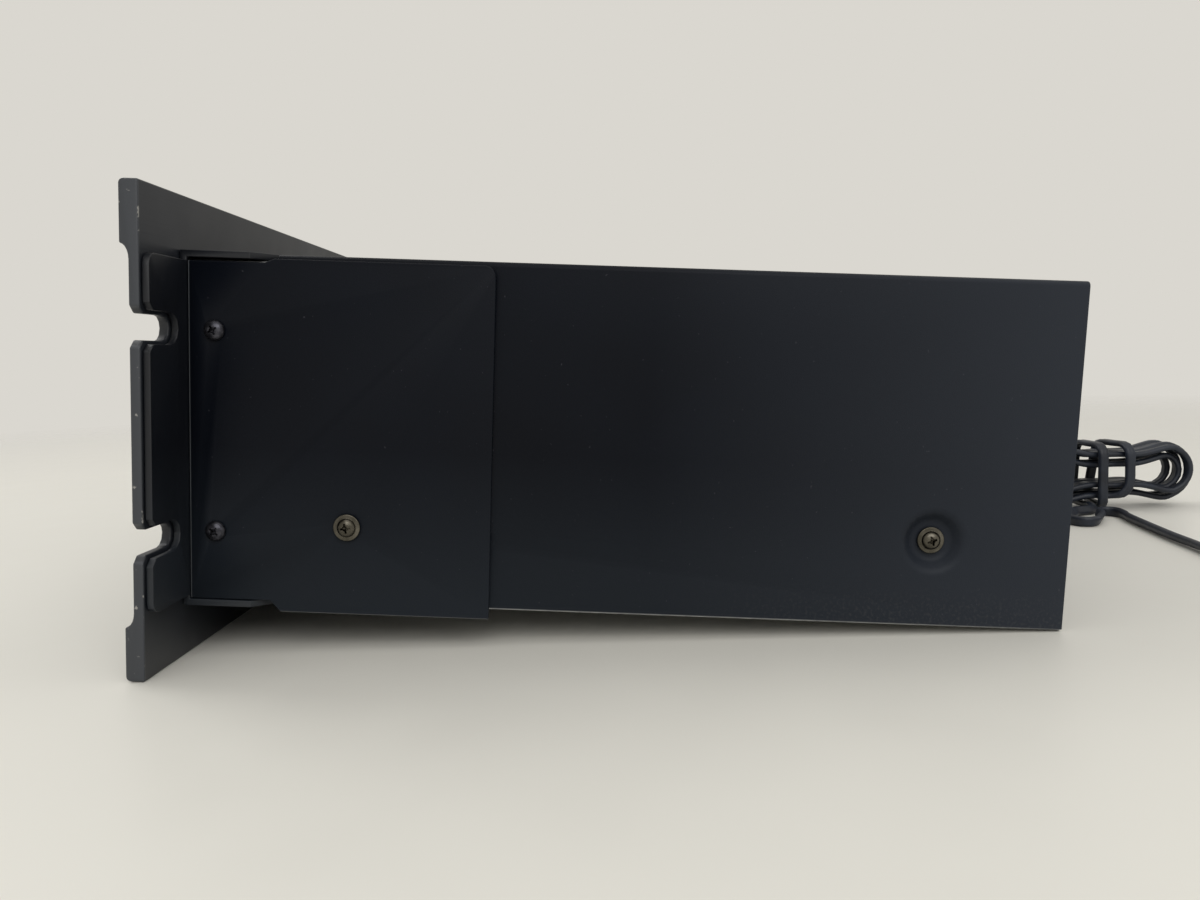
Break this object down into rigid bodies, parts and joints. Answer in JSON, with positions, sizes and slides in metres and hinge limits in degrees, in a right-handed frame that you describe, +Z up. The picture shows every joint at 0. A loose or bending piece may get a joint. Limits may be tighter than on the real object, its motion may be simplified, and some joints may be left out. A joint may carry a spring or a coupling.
{
  "type": "rack-mount cd player",
  "caption": "Rack-mount compact disc player with motor-driven tray, transport keys, jog and shuttle dial, pitch slider, steel case and a tied-up mains cord.",
  "frame": {"origin": "middle of the player's width and depth, at the height of the front panel's lower edge", "axes": "+X to the right for someone who faces the front, -Y out of the front, +Z up"},
  "size_m": [0.4826, 0.4321, 0.1325],
  "materials": {
    "anodised_panel": "black anodised",
    "black_paint": "satin black",
    "zinc": "zinc plated",
    "core_steel": "varnished laminations",
    "black_screw": "blackened",
    "bright_screw": "plated",
    "smoked_window": "smoked, gloss",
    "circuit_board": "solder resist",
    "black_plastic": "fine texture",
    "grey_plastic": "fine texture",
    "white_acetal": "moulded",
    "rubber": "matt",
    "cord_pvc": "satin"
  },
  "bodies": {
    "housing": {"front_panel": "anodised_panel", "sub_panel": "black_paint", "side_plate_right": "black_paint", "side_plate_left": "black_paint", "chassis_pan": "zinc", "rear_panel": "black_paint", "top_cover": "black_paint", "bracket_screw_upper_right": "black_screw", "bracket_screw_lower_right": "black_screw", "bracket_screw_rear_right": "bright_screw", "cover_screw_right": "bright_screw", "bracket_screw_upper_left": "black_screw", "bracket_screw_lower_left": "black_screw", "bracket_screw_rear_left": "bright_screw", "cover_screw_left": "bright_screw", "display_window": "smoked_window", "display_module": "circuit_board", "control_board": "circuit_board", "phones_jack": "zinc", "dial_encoder": "black_plastic", "level_pot": "zinc", "pitch_fader": "zinc", "loader_frame": "grey_plastic", "loading_motor": "zinc", "drive_belt": "rubber", "clamp_bridge": "zinc", "transformer": "core_steel", "power_board": "circuit_board", "main_board": "circuit_board", "rca_sockets": "black_plastic", "strain_relief": "rubber", "cord_lead": "cord_pvc", "cord_hank": "cord_pvc", "cord_tail": "cord_pvc", "plug": "cord_pvc"},
    "tray": {"disc_tray": "black_plastic", "tray_front": "black_plastic"},
    "tray_gear": {"tray_gear": "white_acetal"},
    "drive_pulley": {"drive_pulley": "white_acetal"},
    "motor_pulley": {"motor_pulley": "white_acetal"},
    "cam": {"cam_slider": "white_acetal"},
    "traverse": {"traverse_frame": "zinc", "spindle_motor": "zinc", "guide_rail": "zinc", "sled_motor": "zinc"},
    "spindle": {"turntable": "black_plastic"},
    "puck": {"clamp_puck": "black_plastic"},
    "sled": {"pickup_sled": "black_plastic"},
    "sled_screw": {"sled_screw": "zinc"},
    "power_button": {"power_button": "grey_plastic"},
    "open_button": {"open_button": "grey_plastic"},
    "track_back_button": {"track_back_button": "grey_plastic"},
    "track_forward_button": {"track_forward_button": "grey_plastic"},
    "play_button": {"play_button": "grey_plastic"},
    "pause_button": {"pause_button": "grey_plastic"},
    "stop_button": {"stop_button": "grey_plastic"},
    "jog_dial": {"jog_dial": "grey_plastic"},
    "shuttle_ring": {"shuttle_ring": "grey_plastic"},
    "level_knob": {"level_knob": "grey_plastic"},
    "pitch_knob": {"pitch_knob": "grey_plastic"}
  },
  "joints": [
    {"name": "tray_slide", "type": "slide", "parent": "housing", "child": "tray", "axis": [0, -1, 0], "range_m": [0, 0.15]},
    {"name": "tray_gear_spin", "type": "hinge", "parent": "housing", "child": "tray_gear", "pos_m": [-0.1428, -0.09548, 0.07625], "axis": [0, 0, 1], "range_deg": [0, 720]},
    {"name": "drive_pulley_spin", "type": "hinge", "parent": "housing", "child": "drive_pulley", "pos_m": [-0.1247, -0.09548, 0.0729], "axis": [0, 0, 1], "range_deg": [-1440, 0]},
    {"name": "motor_pulley_spin", "type": "hinge", "parent": "housing", "child": "motor_pulley", "pos_m": [-0.0847, -0.09548, 0.0704], "axis": [0, 0, 1], "range_deg": [-5040, 0]},
    {"name": "traverse_tilt", "type": "hinge", "parent": "housing", "child": "traverse", "pos_m": [-0.095, 0.03603, 0.0715], "axis": [1, 0, 0], "range_deg": [0, 6]},
    {"name": "cam_slide", "type": "slide", "parent": "housing", "child": "cam", "axis": [1, 0, 0], "range_m": [0, 0.0201]},
    {"name": "spindle_spin", "type": "hinge", "parent": "traverse", "child": "spindle", "pos_m": [-0.095, -0.03898, 0.085], "axis": [0, 0, 1], "continuous": true},
    {"name": "puck_spin", "type": "hinge", "parent": "housing", "child": "puck", "pos_m": [-0.095, -0.03898, 0.092], "axis": [0, 0, 1], "continuous": true},
    {"name": "sled_slide", "type": "slide", "parent": "traverse", "child": "sled", "axis": [0, 1, 0], "range_m": [0, 0.036]},
    {"name": "sled_screw_spin", "type": "hinge", "parent": "traverse", "child": "sled_screw", "pos_m": [-0.082, 0.006, 0.0715], "axis": [0, 1, 0], "range_deg": [0, 4330]},
    {"name": "power_press", "type": "slide", "parent": "housing", "child": "power_button", "axis": [0, 1, 0], "range_m": [0, 0.001], "stiffness_N_per_m": 400, "springref_m": -0.003},
    {"name": "open_press", "type": "slide", "parent": "housing", "child": "open_button", "axis": [0, 1, 0], "range_m": [0, 0.001], "stiffness_N_per_m": 400, "springref_m": -0.003},
    {"name": "track_back_press", "type": "slide", "parent": "housing", "child": "track_back_button", "axis": [0, 1, 0], "range_m": [0, 0.001], "stiffness_N_per_m": 400, "springref_m": -0.003},
    {"name": "track_forward_press", "type": "slide", "parent": "housing", "child": "track_forward_button", "axis": [0, 1, 0], "range_m": [0, 0.001], "stiffness_N_per_m": 400, "springref_m": -0.003},
    {"name": "play_press", "type": "slide", "parent": "housing", "child": "play_button", "axis": [0, 1, 0], "range_m": [0, 0.001], "stiffness_N_per_m": 400, "springref_m": -0.003},
    {"name": "pause_press", "type": "slide", "parent": "housing", "child": "pause_button", "axis": [0, 1, 0], "range_m": [0, 0.001], "stiffness_N_per_m": 400, "springref_m": -0.003},
    {"name": "stop_press", "type": "slide", "parent": "housing", "child": "stop_button", "axis": [0, 1, 0], "range_m": [0, 0.001], "stiffness_N_per_m": 400, "springref_m": -0.003},
    {"name": "jog_spin", "type": "hinge", "parent": "housing", "child": "jog_dial", "pos_m": [0.172, -0.13, 0.06625], "axis": [0, 1, 0], "continuous": true},
    {"name": "shuttle_turn", "type": "hinge", "parent": "housing", "child": "shuttle_ring", "pos_m": [0.172, -0.13, 0.06625], "axis": [0, 1, 0], "range_deg": [-60, 60], "stiffness_Nm_per_rad": 0.05},
    {"name": "level_turn", "type": "hinge", "parent": "housing", "child": "level_knob", "pos_m": [-0.19, -0.13, 0.0649], "axis": [0, 1, 0], "range_deg": [-140, 140]},
    {"name": "pitch_slide", "type": "slide", "parent": "housing", "child": "pitch_knob", "axis": [1, 0, 0], "range_m": [-0.03, 0.03]}
  ],
  "couplings": [
    {"joint": "tray_gear_spin", "follows": "tray_slide", "rad_per_m": 83.333},
    {"joint": "drive_pulley_spin", "follows": "tray_slide", "rad_per_m": -166.67},
    {"joint": "motor_pulley_spin", "follows": "tray_slide", "rad_per_m": -584.66},
    {"joint": "cam_slide", "follows": "traverse_tilt", "m_per_rad": 0.19099},
    {"joint": "puck_spin", "follows": "spindle_spin", "ratio": 1},
    {"joint": "sled_screw_spin", "follows": "sled_slide", "rad_per_m": 2094.4}
  ]
}
